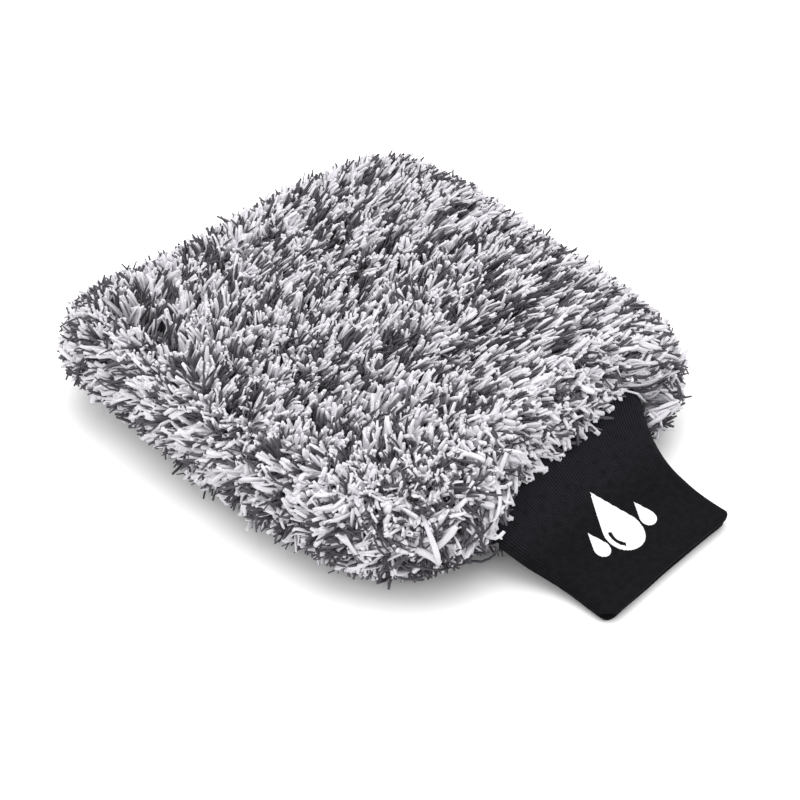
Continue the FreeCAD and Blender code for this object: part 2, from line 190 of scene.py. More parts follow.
# ------------------------------------------------------------------ tufts on the surface
def jitter_rows(low, high, spacing, rng):
    """Plan points in staggered rows, shaken."""
    rows = int((high[1] - low[1]) / (spacing * 0.866)) + 1
    points = []
    for row in range(rows):
        y = low[1] + row * spacing * 0.866
        xs = np.arange(low[0] + (row % 2) * spacing / 2, high[0], spacing)
        points.append(np.stack([xs, np.full(len(xs), y)], 1))
    points = np.concatenate(points)
    return points + rng.uniform(-0.42, 0.42, points.shape) * spacing


def plateau_tufts(side, spacing, rng):
    """Tuft places on the flat of the top (side 1) or the sole (side -1), with normals."""
    run = CROWN_RUN if side > 0 else SOLE_RUN
    low = OUTLINE.min(0)
    high = OUTLINE.max(0)
    plan = jitter_rows(low, high, spacing, rng)
    plan = plan[inside_outline(plan)]
    plan = plan[inset_of(plan) > run * 0.97]
    height = np.full(len(plan), TOP_Z if side > 0 else 0.0)
    places = np.concatenate([plan, height[:, None]], 1)
    normals = np.tile(UP * side, (len(plan), 1))
    return places, normals


def rim_run(plan, side):
    """How far the rim's rounding runs inward from the outline at plan points."""
    away = np.linalg.norm(plan - np.array(TUCKED_CORNER), axis=1)
    near = np.exp(-(away / TUCK_SPREAD) ** 2)
    away = np.linalg.norm(plan - np.array(LIFTED_CORNER), axis=1)
    lifted = np.exp(-(away / LIFT_SPREAD) ** 2)
    return CROWN_RUN - TIGHTER * near if side > 0 else SOLE_RUN + TUCK * near + LIFT * lifted


def rim_tufts(side, spacing, rng):
    """Tuft places on the rounded rim, with normals."""
    run = CROWN_RUN if side > 0 else SOLE_RUN
    rise = (TOP_Z - SEAM_Z) if side > 0 else SEAM_Z
    arc = math.pi / 2 * math.sqrt((run ** 2 + rise ** 2) / 2)
    rows = max(2, round(arc / (spacing * 0.866)))
    places = []
    normals = []
    mean_run = run
    for row in range(rows):
        turn = (row + 0.5) / rows * math.pi / 2
        girth = GIRTH - 2 * math.pi * mean_run * (1 - math.cos(turn))
        count = int(girth / spacing)
        share = (np.arange(count) + (row % 2) / 2 + rng.uniform(-0.42, 0.42, count)) / count
        angle = turn + rng.uniform(-0.42, 0.42, count) * math.pi / 2 / rows
        angle = np.clip(angle, 0.0, math.pi / 2)
        plan, outward = at_outline(share)
        run = rim_run(plan, side)
        mean_run = np.mean(run)
        inward = run * (1 - np.cos(angle))
        height = SEAM_Z + side * rise * np.sin(angle)
        places.append(np.concatenate([plan - outward * inward[:, None], height[:, None]], 1))
        flat = outward * (np.cos(angle) / run)[:, None]
        normal = np.concatenate([flat, (side * np.sin(angle) / rise)[:, None]], 1)
        normals.append(normal / np.linalg.norm(normal, axis=1)[:, None])
    return np.concatenate(places), np.concatenate(normals)


# ------------------------------------------------------------------ the cuff's middle surface
# Share of the cuff's reach from root to end, then width, thickness, middle height and drift.
CUFF_SHARES = np.array([0.0, 0.12, 0.27, 0.40, 0.60, 1.0])
CUFF_WIDTHS = np.array([118.0, 107.0, 97.0, 91.5, 86.4, 87.4]) * MM
CUFF_THICKS = np.array([17.0, 13.6, 10.8, 9.4, 7.6, 5.6]) * MM
CUFF_RISES = np.array([27.5, 23.6, 17.6, 13.0, 7.2, 3.0]) * MM
CUFF_DRIFTS = np.array([5.0, 4.6, 4.7, 5.3, 8.2, 11.0]) * MM


def smooth_through(shares, values, at):
    """Smooth curve through the stations: cubic Hermite with averaged slopes."""
    slopes = np.gradient(values, shares)
    index = np.clip(np.searchsorted(shares, at, side="right") - 1, 0, len(shares) - 2)
    gap = shares[index + 1] - shares[index]
    t = (at - shares[index]) / gap
    h00 = 2 * t ** 3 - 3 * t ** 2 + 1
    h10 = t ** 3 - 2 * t ** 2 + t
    h01 = -2 * t ** 3 + 3 * t ** 2
    h11 = t ** 3 - t ** 2
    return (h00 * values[index] + h10 * gap * slopes[index]
            + h01 * values[index + 1] + h11 * gap * slopes[index + 1])


def cuff_share(y):
    return np.clip((CUFF_ROOT_Y - y) / (CUFF_ROOT_Y - CUFF_END_Y), 0.0, 1.0)


def cuff_at(y):
    """Half width, half thickness, middle height and drift of the cuff at y."""
    share = cuff_share(y)
    return (smooth_through(CUFF_SHARES, CUFF_WIDTHS, share) / 2,
            smooth_through(CUFF_SHARES, CUFF_THICKS, share) / 2,
            smooth_through(CUFF_SHARES, CUFF_RISES, share),
            smooth_through(CUFF_SHARES, CUFF_DRIFTS, share))


def set_back(places):
    """The upper pile stands back from the cuff's middle, between the two lobes beside it."""
    x, y = places[:, 0], places[:, 1]
    depth = NOTCH * step_between(-0.056, -0.004, x) + NOTCH_CORNER * step_between(0.024, 0.048, x)
    depth *= 1 - step_between(0.050, 0.092, x)
    reach = step_between(0.045, -WRIST_Y, -y)
    moved = places.copy()
    moved[:, 1] = y + depth * reach
    return moved


def clear_cuff(lines, side, seed):
    """Strands over or under the cuff keep clear of it, some further than others."""
    rng = np.random.default_rng(seed)
    x, y, z = lines[..., 0], lines[..., 1], lines[..., 2]
    half, thick, rise, drift = cuff_at(np.minimum(y, CUFF_ROOT_Y))
    edge = 1 - step_between(half - 4 * MM, half + 3 * MM, np.abs(x - drift))
    edge = edge * step_between(-CUFF_ROOT_Y - 8 * MM, -CUFF_ROOT_Y + 2 * MM, -y)
    gap = thick + 1.2 * MM
    if side > 0:
        wanted = np.maximum(z, rise + gap)
    else:
        uneven = rng.uniform(0.0, 4.5, (len(lines), 1)) * MM
        wanted = np.minimum(z, np.maximum(rise - gap - uneven, 0.8 * MM + 0.3 * uneven))
    moved = (wanted - z) * edge
    lines[..., 2] = z + moved
    return lines, np.abs(moved[:, RINGS // 2:]).max(1) < PRESSED


# ------------------------------------------------------------------ strands
RINGS = 8
SIDES = 6
CELLS_ACROSS = 16
CELLS_ALONG = 4
FRINGE_Y = CUFF_ROOT_Y + 14 * MM     # strands that reach past this bend with the cuff
FRINGE_HALF_WIDTH = 62 * MM          # and only beside the cuff's own middle
CURL_LIMIT = 0.84                    # of them, those less straight than this are left out
SMOOTHING_PASSES = 2
SHOWN_SHARE = 0.75                   # the point of a strand that sits over its place


def unit(vectors):
    return vectors / np.maximum(np.linalg.norm(vectors, axis=-1, keepdims=True), 1e-9)


def straightness(lines):
    """Distance from a strand's root to its tip, as a share of its length."""
    length = np.linalg.norm(np.diff(lines, axis=1), axis=2).sum(1)
    return np.linalg.norm(lines[:, -1] - lines[:, 0], axis=1) / length


class Strands:
    """Centre lines and widths of many strands, with one colour word each."""

    def __init__(self, lines, width, thick, light, twist):
        self.lines = lines
        self.width = width
        self.thick = thick
        self.light = light
        self.twist = twist

    def pick(self, mask):
        return Strands(self.lines[mask], self.width[mask], self.thick[mask],
                       self.light[mask], self.twist[mask])


LEAN_X = wave_field(11, 80 * MM)
LEAN_Y = wave_field(12, 80 * MM)
FINE_X = wave_field(13, 24 * MM)
FINE_Y = wave_field(14, 24 * MM)
SWELL = wave_field(15, 60 * MM)
CAMERA_RIGHT = np.array([0.725, -0.688, 0.0])


def combed(plan):
    """The way the nap lies on the upper face: towards one side, more so near the wrist."""
    x, y = plan[:, 0], plan[:, 1]
    towards = 0.46 + 0.30 * x / HALF_WIDTH
    above_cuff = step_between(-0.035, 0.01, x) * (1 - step_between(0.05, 0.10, x))
    towards += 0.60 * step_between(-0.01, 0.05, -y) * above_cuff
    towards -= 0.45 * step_between(0.105, 0.14, y) * step_between(-0.04, 0.04, -x + 0.02)
    return CAMERA_RIGHT * towards[:, None]


def lobe_at(plan, steep):
    """1 on the rounded lobe to the right of the cuff, 0 elsewhere."""
    return steep * step_between(0.040, 0.062, plan[:, 0]) * step_between(0.045, 0.075, -plan[:, 1])


def grow(places, normals, side, seed):
    """Strands that end at the given places: a few to a tuft, bent, waved and hanging at the sides."""
    rng = np.random.default_rng(seed)
    per_tuft = rng.choice([2, 3, 4, 5], len(places), p=[0.16, 0.36, 0.30, 0.18])
    tuft = np.repeat(np.arange(len(places)), per_tuft)
    count = len(tuft)
    # Share of white strands: lower on the lower pile and a little lower on the steep rim, partly the real mix
    # of strands there and partly painted shade on the side walls; lower again on the lobe beside the cuff.
    light_share = 0.625 if side > 0 else 0.43
    tuft_steep = 1 - np.abs(normals[:, 2])
    tuft_share = light_share - 0.02 * tuft_steep - 0.16 * lobe_at(places, tuft_steep)
    tuft_light = rng.random(len(places)) < tuft_share
    light = np.where(rng.random(count) < 0.10, ~tuft_light[tuft], tuft_light[tuft])
    normal = normals[tuft]
    place = places[tuft] + rng.normal(0, 0.85 * MM, (count, 3))
    plan = place[:, :2]
    steep = 1 - np.abs(normal[:, 2])             # 0 on the flat, 1 on the rim's middle
    # lean: the combed nap, slow and fine flows, the tuft's own and the strand's own
    flow = np.stack([0.20 * LEAN_X(plan) + 0.24 * FINE_X(plan),
                     0.20 * LEAN_Y(plan) + 0.24 * FINE_Y(plan),
                     np.zeros(count)], 1)
    if side > 0:
        flow += combed(plan) * (1 - 0.85 * steep)[:, None]
    along_wall = steep * step_between(0.04, 0.10, -plan[:, 0]) * (1.0 if side > 0 else 0.45)
    flow[:, 1] += 1.15 * along_wall
    near_wrist = step_between(0.025, 0.075, -plan[:, 1])
    curly = near_wrist * (1 - 0.6 * step_between(0.03, 0.07, plan[:, 0]))
    right_end = step_between(0.03, 0.06, plan[:, 0]) * step_between(0.03, 0.07, -plan[:, 1])
    flow[:, 0] += 0.34 * steep * right_end
    spread = 0.19 + 0.26 * steep + 0.10 * curly
    own = rng.normal(0, 1, (len(places), 3))[tuft] * spread[:, None]
    lean = flow + own + rng.normal(0, 0.13, (count, 3))
    lean -= normal * (lean * normal).sum(1)[:, None]
    lobe = lobe_at(plan, steep)
    length_gain = 1 + 0.22 * steep - 0.14 * lobe
    droop = step_between(0.25, 0.9, steep) * (0.10 + 0.5 * rng.random(len(places))[tuft])
    droop = droop * (1 - 0.5 * lobe)
    length = np.where(light, rng.normal(22.0, 1.5, count), rng.normal(23.0, 1.8, count)) * MM
    length *= length_gain
    stray = rng.random(count) < np.where(light, 0.015, 0.05)
    length[stray] += rng.uniform(2, 5, stray.sum()) * MM
    wave = rng.normal(0, 1, (len(places), 3))[tuft]
    wave = unit(wave - normal * (wave * normal).sum(1)[:, None])
    wave_gain = rng.gamma(2.0, 0.5, len(places))[tuft] * (0.30 + 1.0 * steep + 0.8 * curly)
    wave_gain = np.minimum(wave_gain, 1.7)
    wave_pace = rng.uniform(0.5, 1.05, len(places))[tuft]
    wave_phase = rng.uniform(0, 2 * math.pi, len(places))[tuft] + rng.normal(0, 0.35, count)
    hook_gain = 1 + 1.2 * steep * (1 - 0.6 * lobe) + 0.8 * curly
    hook = rng.normal(0, 0.26, (count, 3)) * hook_gain[:, None]
    steps = np.linspace(0, 1, RINGS)
    line = np.zeros((count, RINGS, 3))
    for k in range(1, RINGS):
        t = (steps[k] + steps[k - 1]) / 2
        heading = (normal
                   + lean * (0.35 + 0.85 * t)
                   + wave * (wave_gain * t * np.sin(2 * math.pi * wave_pace * t + wave_phase))[:, None]
                   + hook * t ** 2
                   - UP * (droop * (0.1 + 1.0 * t))[:, None])
        line[:, k] = line[:, k - 1] + unit(heading) * (length / (RINGS - 1))[:, None]
    for _ in range(SMOOTHING_PASSES):
        line[:, 1:-1] = line[:, 1:-1] / 2 + (line[:, :-2] + line[:, 2:]) / 4
    # the strand's outer part sits over its place, and its highest point is at the surface
    reach = (line * normal[:, None]).sum(2)
    highest = reach.max(1)
    level = 1.2 * MM * SWELL(plan) + rng.normal(0, 0.8 * MM, len(places))[tuft]
    settle = level - 1.6 * MM + np.where(light, 0.0, 0.7 * MM) + rng.normal(0, 0.9 * MM, count)
    settle[stray] += rng.uniform(1.5, 4.0, stray.sum()) * MM
    anchor = line[:, int(RINGS * SHOWN_SHARE)]
    across = anchor - normal * (anchor * normal).sum(1)[:, None]
    shift = place - across + normal * (settle - highest)[:, None]
    line = line + shift[:, None]
    width = np.where(light, rng.normal(2.00, 0.36, count), rng.normal(1.28, 0.17, count)) * MM
    wider = np.maximum(steep * (1 - 0.7 * lobe), 0.6 * curly)
    width = np.clip(width, 0.9 * MM, 3.2 * MM) * (1 + np.where(light, 0.34, 0.0) * wider)
    thick = np.minimum(width * rng.uniform(0.42, 0.75, count), 1.45 * MM)
    twist = rng.normal(0, 1.0, count)
    return Strands(line, width, thick, light, twist)


def rest_on_floor(lines, rng_seed):
    """Strands that would reach below the floor lie along it."""
    rng = np.random.default_rng(rng_seed)
    clear = rng.uniform(1.0, 3.0, lines.shape[0])[:, None] * MM
    z = lines[:, :, 2]
    soft = 1.5 * MM
    lifted = clear + soft * np.log1p(np.exp(np.clip((z - clear) / soft, -30, 30)))
    lines[:, :, 2] = np.where(z < clear + 6 * soft, lifted, z)
    return lines


def strand_mesh(name, strands, seed):
    """One mesh of flattened tubes with square-cut ends and its own map for the strand material."""
    rng = np.random.default_rng(seed)
    lines = strands.lines
    count = len(lines)
    tangent = np.gradient(lines, axis=1)
    tangent = unit(tangent)
    side = rng.normal(0, 1, (count, 3))
    sides = np.zeros((count, RINGS, 3))
    for k in range(RINGS):
        side = unit(side - tangent[:, k] * (side * tangent[:, k]).sum(1)[:, None])
        sides[:, k] = side
    normal = np.cross(tangent, sides)
    turn = strands.twist[:, None] * np.linspace(0, 1, RINGS)[None]
    across = sides * np.cos(turn)[..., None] + normal * np.sin(turn)[..., None]
    through = -sides * np.sin(turn)[..., None] + normal * np.cos(turn)[..., None]
    swell = np.interp(np.linspace(0, 1, RINGS), [0, 0.2, 0.6, 0.86, 1.0],
                      [0.6, 0.85, 1.0, 1.0, 0.74])
    lump = 1 + rng.normal(0, 0.07, (count, RINGS))
    half_w = strands.width[:, None] / 2 * swell * lump
    half_t = strands.thick[:, None] / 2 * swell * (1 + rng.normal(0, 0.07, (count, RINGS)))
    angle = np.arange(SIDES) / SIDES * 2 * math.pi
    ring = (lines[:, :, None]
            + across[:, :, None] * (half_w[..., None] * np.cos(angle))[..., None]
            + through[:, :, None] * (half_t[..., None] * np.sin(angle))[..., None])
    tips = lines[:, -1] + tangent[:, -1] * (0.12 * MM)
    block = RINGS * SIDES + 1
    vertices = np.concatenate([ring.reshape(count, RINGS * SIDES, 3), tips[:, None]], 1).reshape(-1, 3)
    k, j = np.meshgrid(np.arange(RINGS - 1), np.arange(SIDES), indexing="ij")
    following = (j + 1) % SIDES
    quads = np.stack([k * SIDES + j, k * SIDES + following,
                      (k + 1) * SIDES + following, (k + 1) * SIDES + j], -1).reshape(-1, 4)
    last = (RINGS - 1) * SIDES
    fan_j = np.arange(SIDES)
    fans = np.stack([last + fan_j, last + (fan_j + 1) % SIDES, np.full(SIDES, RINGS * SIDES)], -1)
    base = np.arange(count) * block
    quad_ids = (quads[None] + base[:, None, None]).reshape(count, -1)
    fan_ids = (fans[None] + base[:, None, None]).reshape(count, -1)
    loops = np.concatenate([quad_ids, fan_ids], 1).reshape(-1)
    sizes = np.concatenate([np.full(len(quads), 4), np.full(len(fans), 3)])
    totals = np.tile(sizes, count)
    starts = np.concatenate([[0], np.cumsum(totals)[:-1]])
    mesh = bpy.data.meshes.new(name)
    mesh.vertices.add(len(vertices))
    mesh.vertices.foreach_set("co", vertices.astype(np.float32).reshape(-1))
    mesh.loops.add(len(loops))
    mesh.loops.foreach_set("vertex_index", loops.astype(np.int32))
    mesh.polygons.add(len(totals))
    mesh.polygons.foreach_set("loop_start", starts.astype(np.int32))
    # each strand takes one cell of the map: across is round the strand, along is root to tip
    cell = rng.integers(0, CELLS_ACROSS * CELLS_ALONG, count)
    corner = np.stack([cell % CELLS_ACROSS / CELLS_ACROSS, cell // CELLS_ACROSS / CELLS_ALONG], 1)
    quad_uv = []
    margin = 0.04
    for ring_k in range(RINGS - 1):
        for side_j in range(SIDES):
            for dj, dk in ((0, 0), (1, 0), (1, 1), (0, 1)):
                quad_uv.append(((side_j + dj) / SIDES, (ring_k + dk) / (RINGS - 1)))
    for side_j in range(SIDES):
        quad_uv += [(side_j / SIDES, 0.985), ((side_j + 1) / SIDES, 0.985),
                    ((side_j + 0.5) / SIDES, 1.0)]
    quad_uv = margin + np.array(quad_uv) * (1 - 2 * margin)
    uv = corner[:, None] + quad_uv[None] / np.array([CELLS_ACROSS, CELLS_ALONG])
    layer = mesh.uv_layers.new(name="OFBake")
    layer.data.foreach_set("uv", uv.astype(np.float32).reshape(-1))
    mesh.update(calc_edges=True)
    smooth = np.tile(sizes == 4, count)
    mesh.polygons.foreach_set("use_smooth", smooth)
    mesh.validate()
    piece = bpy.data.objects.new(name, mesh)
    bpy.context.scene.collection.objects.link(piece)
    return piece


# ------------------------------------------------------------------ materials
def new_material(name):
    material = bpy.data.materials.new(name)
    material.use_nodes = True
    return material, material.node_tree


def feed(tree, node, inputs):
    """Link a node's inputs to other nodes' outputs, or set them to constants."""
    for key, value in inputs.items():
        if isinstance(value, bpy.types.NodeSocket):
            tree.links.new(value, node.inputs[key])
        else:
            node.inputs[key].default_value = value


def shaded(material, inputs):
    """The material, with its shader's inputs linked or set."""
    tree = material.node_tree
    feed(tree, tree.nodes["Principled BSDF"], inputs)
    return material


def add(tree, kind, inputs, output=0, **settings):
    """A new node with its settings and inputs; gives back one of its outputs."""
    node = tree.nodes.new("ShaderNode" + kind)
    for key, value in settings.items():
        setattr(node, key, value)
    feed(tree, node, inputs)
    return node.outputs[output]


def compute(tree, operation, *values):
    return add(tree, "Math", dict(enumerate(values)), operation=operation)


def vector(tree, operation, *values):
    return add(tree, "VectorMath", dict(enumerate(values)), operation=operation)


def scaled(tree, color, factor):
    return add(tree, "VectorMath", {0: color, "Scale": factor}, operation="SCALE")


def map_range(tree, value, low=0.0, high=1.0, start=0.0, end=1.0):
    """Value from start to end, mapped to low to high."""
    return add(tree, "MapRange", {"Value": value, "From Min": start, "From Max": end,
                                  "To Min": low, "To Max": high})


def color_ramp(tree, factor, low, low_color, high, high_color):
    color = add(tree, "ValToRGB", {0: factor})
    ends = color.node.color_ramp.elements
    ends[0].position = low
    ends[0].color = (*low_color, 1)
    ends[1].position = high
    ends[1].color = (*high_color, 1)
    return color


def strand_material(name, shaded_root_color, tip_color, tint_spread, sheen):
    """Cut microfibre strand: streaks along it, painted shade darker at the root, each with its own tone."""
    material, tree = new_material(name)
    uv = add(tree, "UVMap", {}, "UV", uv_map="OFBake")
    cells = vector(tree, "MULTIPLY", uv, (CELLS_ACROSS, CELLS_ALONG, 0))
    number = vector(tree, "FLOOR", cells)
    within = vector(tree, "FRACTION", cells)
    along = add(tree, "SeparateXYZ", {0: within}, "Y")
    # painted shade: the colour runs from a darker root colour, standing in for the shade deep in the pile, to
    # the strand's own colour at the tip
    root_shade_to_tip = color_ramp(tree, along, 0.15, shaded_root_color, 0.72, tip_color)
    own = add(tree, "TexWhiteNoise", {"Vector": number}, "Value", noise_dimensions="3D")
    own_shade = map_range(tree, own, 1 - tint_spread, 1 + tint_spread * 0.4)
    stretched = vector(tree, "MULTIPLY", uv, (CELLS_ACROSS * 9, CELLS_ALONG * 2.6, 1))
    streak = add(tree, "TexNoise", {"Vector": stretched, "Scale": 1.0, "Detail": 3.0,
                                    "Roughness": 0.65}, "Fac", noise_dimensions="2D")
    fibres = map_range(tree, streak, 0.80, 1.06, 0.3, 0.7)
    gain = compute(tree, "MULTIPLY", own_shade, fibres)
    return shaded(material, {"Base Color": scaled(tree, root_shade_to_tip, gain), "Roughness": 0.92,
                             "Specular IOR Level": 0.25, "Sheen Weight": sheen,
                             "Sheen Roughness": 0.45})


# ------------------------------------------------------------------ build the pile
def build_pile():
    # the first colour of each strand material is its root colour, darkened as painted shade deep in the pile
    light_material = strand_material("strand_light", (0.550, 0.537, 0.580),
                                     (0.685, 0.672, 0.708), 0.14, 0.19)
    dark_material = strand_material("strand_dark", (0.027, 0.0245, 0.0297),
                                    (0.083, 0.0755, 0.089), 0.32, 0.11)
    shown = {}
    for word, side, spacing in (("upper", 1, 3.8 * MM), ("lower", -1, 4.3 * MM)):
        rng = np.random.default_rng(100 + side)
        flat = plateau_tufts(side, spacing, rng)
        rim = rim_tufts(side, spacing, rng)
        places = np.concatenate([flat[0], rim[0]])
        normals = np.concatenate([flat[1], rim[1]])
        if side > 0:
            places = set_back(places)
        strands = grow(places, normals, side, 200 + side)
        strands.lines = rest_on_floor(strands.lines, 300 + side)
        strands.lines, free = clear_cuff(strands.lines, side, 500 + side)
        strands = strands.pick(free)
        for shade, material in (("light", light_material), ("dark", dark_material)):
            chosen = strands.pick(strands.light if shade == "light" else ~strands.light)
            if side > 0:
                over_cuff = chosen.lines[..., 1].min(1) < FRINGE_Y
                over_cuff &= np.abs(chosen.lines[:, -1, 0] - CUFF_DRIFTS[0]) < FRINGE_HALF_WIDTH
                curled = over_cuff & (straightness(chosen.lines) < CURL_LIMIT)
                chosen = chosen.pick(~curled)
                over_cuff = over_cuff[~curled]
                piece = strand_mesh("wrist_fringe_" + shade, chosen.pick(over_cuff), 390)
                piece.data.materials.append(material)
                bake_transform(piece)
                chosen = chosen.pick(~over_cuff)
            order = np.argsort(chosen.lines[:, -1, 1])
            limit = 200000 // (2 * SIDES * (RINGS - 1) + SIDES)
            parts = max(1, math.ceil(len(order) / limit))
            for index, block in enumerate(np.array_split(order, parts), start=1):
                name = "%s_pile_%s_%d" % (word, shade, index)
                piece = strand_mesh(name, chosen.pick(block), 400 + index)
                piece.data.materials.append(material)
                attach(piece, "mitt_body")
                shown.setdefault(word, []).append(piece)
    return shown


pile = build_pile()
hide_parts("upper_pile")
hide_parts("lower_pile")


# ------------------------------------------------------------------ sheets and pads inside
AROUND = 192
MIDDLE = np.array([0.0, 0.025])  # where the rows of the sheets and pads close


def new_piece(name, vertices, faces, material, body, smooth=True):
    """A mesh piece with its material, riding on a body if one is given."""
    mesh = bpy.data.meshes.new(name)
    mesh.from_pydata([tuple(v) for v in vertices], [], [tuple(f) for f in faces])
    mesh.polygons.foreach_set("use_smooth", np.full(len(mesh.polygons), smooth))
    mesh.update()
    piece = bpy.data.objects.new(name, mesh)
    bpy.context.scene.collection.objects.link(piece)
    mesh.materials.append(material)
    if body:
        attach(piece, body)
    return piece


def ring_faces(rows, columns, closed_rows=False):
    """Quads of a grid whose columns close on themselves."""
    k, j = np.meshgrid(np.arange(rows if closed_rows else rows - 1), np.arange(columns), indexing="ij")
    after = (k + 1) % rows
    side = (j + 1) % columns
    quads = np.stack([k * columns + j, k * columns + side, after * columns + side, after * columns + j], -1)
    return quads.reshape(-1, 4)


def capped_faces(rows, columns):
    """Faces of a grid whose columns close on themselves, with both of its ends capped."""
    faces = [tuple(f) for f in ring_faces(rows, columns)]
    faces.append(tuple(range(columns))[::-1])
    faces.append(tuple(range((rows - 1) * columns, rows * columns)))
    return faces


def dome_rows(inset, top, run, edge, side, rows=22):
    """Rows of points over half a pillow, from its seam edge up to its middle."""
    share = np.arange(AROUND) / AROUND
    plan, outward = at_outline(share)
    plan = plan - outward * inset
    plan[:, 1] = np.where(plan[:, 1] < 0, plan[:, 1] * 0.967, plan[:, 1])
    rise = abs(top - edge)
    result = []
    for turn in np.linspace(0, math.pi / 2, rows // 2):
        place = plan - outward * (run * (1 - math.cos(turn)))
        height = edge + side * rise * math.sin(turn)
        result.append(np.concatenate([place, np.full((AROUND, 1), height)], 1))
    rim = result[-1][:, :2]
    for share in np.linspace(0.93, 0.02, rows // 2):
        place = MIDDLE + (rim - MIDDLE) * share
        result.append(np.concatenate([place, np.full((AROUND, 1), top)], 1))
    return np.array(result)


def dome_sheet(name, inset, top, run, edge, thickness, side, lip, wrinkle, material):
    """A sewn layer over half the mitt: a closed thin shell with its wrist edge lifted over the cuff."""
    outer = dome_rows(inset, top, run, edge, side)
    inner = dome_rows(inset + thickness, top - side * thickness, run - thickness / 2, edge, side)
    crease = wave_field(50 + len(name), 38 * MM)
    for rows in (outer, inner):
        x, y = rows[..., 0], rows[..., 1]
        mouth = 1 - step_between(58 * MM, 68 * MM, np.abs(x - CUFF_DRIFTS[0]))
        mouth = mouth * step_between(0.052, 0.062, -y)
        lifted = side * np.maximum(side * rows[..., 2], side * lip)
        rows[..., 2] += (lifted - rows[..., 2]) * mouth
        flat = step_between(0.2 * abs(top - edge), abs(top - edge), np.abs(rows[..., 2] - edge))
        rows[..., 2] -= side * np.abs(crease(rows.reshape(-1, 3)[:, :2])).reshape(x.shape) * wrinkle * flat
    inner[..., 2] = np.where(side > 0, np.minimum(inner[..., 2], outer[..., 2] - thickness * 0.35),
                             np.maximum(inner[..., 2], outer[..., 2] + thickness * 0.35))
    grid = np.concatenate([outer[::-1], inner]).reshape(-1, 3)
    faces = capped_faces(2 * len(outer), AROUND)
    if side < 0:
        faces = [f[::-1] for f in faces]
    return new_piece(name, grid, faces, material, "mitt_body")


def foam_pad(name, low, high, material):
    """A flat foam pad with soft, slightly pressed-in edges."""
    half = (high - low) / 2
    level = (high + low) / 2
    share = np.arange(AROUND) / AROUND
    plan, outward = at_outline(share)
    plan = plan - outward * (OUTLINE[:, 0].max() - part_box(name)[1][0])
    plan[:, 1] = np.where(plan[:, 1] < 0, plan[:, 1] * 0.955, plan[:, 1])
    uneven = wave_field(70 + len(name), 45 * MM)
    rows = []
    for turn in np.linspace(-math.pi / 2, math.pi / 2, 15):
        place = plan - outward * (2.4 * MM * (1 - math.cos(turn)))
        rows.append((place, level + half * math.sin(turn)))
    tops = [(MIDDLE + (rows[-1][0] - MIDDLE) * k, high) for k in np.linspace(0.95, 0.02, 14)]
    bottoms = [(MIDDLE + (rows[0][0] - MIDDLE) * k, low) for k in np.linspace(0.02, 0.95, 14)]
    grid = []
    for place, height in bottoms + rows + tops:
        inner = np.clip((half - abs(height - level)) / half, 0, 1)
        dent = 0.35 * MM * np.abs(uneven(place)) * (1 - inner)
        heights = height - np.sign(height - level) * dent
        grid.append(np.concatenate([place, heights[:, None]], 1))
    faces = capped_faces(len(grid), AROUND)
    return new_piece(name + "_soft", np.concatenate(grid), faces, material, "mitt_body")


def knit_material(name, color, pitch, roughness, sheen, depth, turned=0.0):
    """Fine knitted or woven cloth in the object's own space: loops in rows and columns."""
    material, tree = new_material(name)
    place = add(tree, "TexCoord", {}, "Object")
    mapped = add(tree, "Mapping", {"Vector": place, "Rotation": (0, 0, turned),
                                   "Scale": (1 / pitch, 1 / pitch, 1 / pitch)})
    waves = [add(tree, "TexWave", {"Vector": mapped, "Scale": 0.5, "Distortion": 0.8, "Detail": 2.0},
                 "Fac", wave_type="BANDS", bands_direction=direction) for direction in "XY"]
    loops = compute(tree, "MULTIPLY", *waves)
    mottle = add(tree, "TexNoise", {"Vector": place, "Scale": 90.0, "Detail": 6.0}, "Fac")
    gain = compute(tree, "MULTIPLY", map_range(tree, loops, 0.72, 1.12),
                   map_range(tree, mottle, 0.82, 1.18))
    normal = add(tree, "Bump", {"Strength": 0.8, "Distance": depth, "Height": loops})
    return shaded(material, {"Base Color": scaled(tree, color, gain), "Normal": normal,
                             "Roughness": roughness, "Specular IOR Level": 0.25,
                             "Sheen Weight": sheen})


def foam_material():
    """Open-cell foam: small round cells, unevenly yellowed."""
    material, tree = new_material("foam_cells")
    place = add(tree, "TexCoord", {}, "Object")
    cells = add(tree, "TexVoronoi", {"Vector": place, "Scale": 1100.0}, "Distance")
    patches = add(tree, "TexNoise", {"Vector": place, "Scale": 35.0}, "Fac")
    color = color_ramp(tree, patches, 0.0, (0.62, 0.58, 0.46), 1.0, (0.76, 0.74, 0.66))
    pores = map_range(tree, cells, 0.65, 1.05, 0.0, 0.6)
    normal = add(tree, "Bump", {"Distance": 0.3 * MM, "Height": cells})
    return shaded(material, {"Base Color": scaled(tree, color, pores), "Normal": normal,
                             "Roughness": 0.95})


def thread_material(name, color):
    """Twisted sewing thread: fine slanting bands."""
    material, tree = new_material(name)
    place = add(tree, "TexCoord", {}, "Object")
    wave = add(tree, "TexWave", {"Vector": place, "Scale": 520.0, "Distortion": 1.0}, "Fac",
               wave_type="BANDS", bands_direction="DIAGONAL")
    normal = add(tree, "Bump", {"Distance": 0.08 * MM, "Height": wave})
    return shaded(material, {"Base Color": scaled(tree, color, map_range(tree, wave, 0.65, 1.1)),
                             "Normal": normal, "Roughness": 0.6})


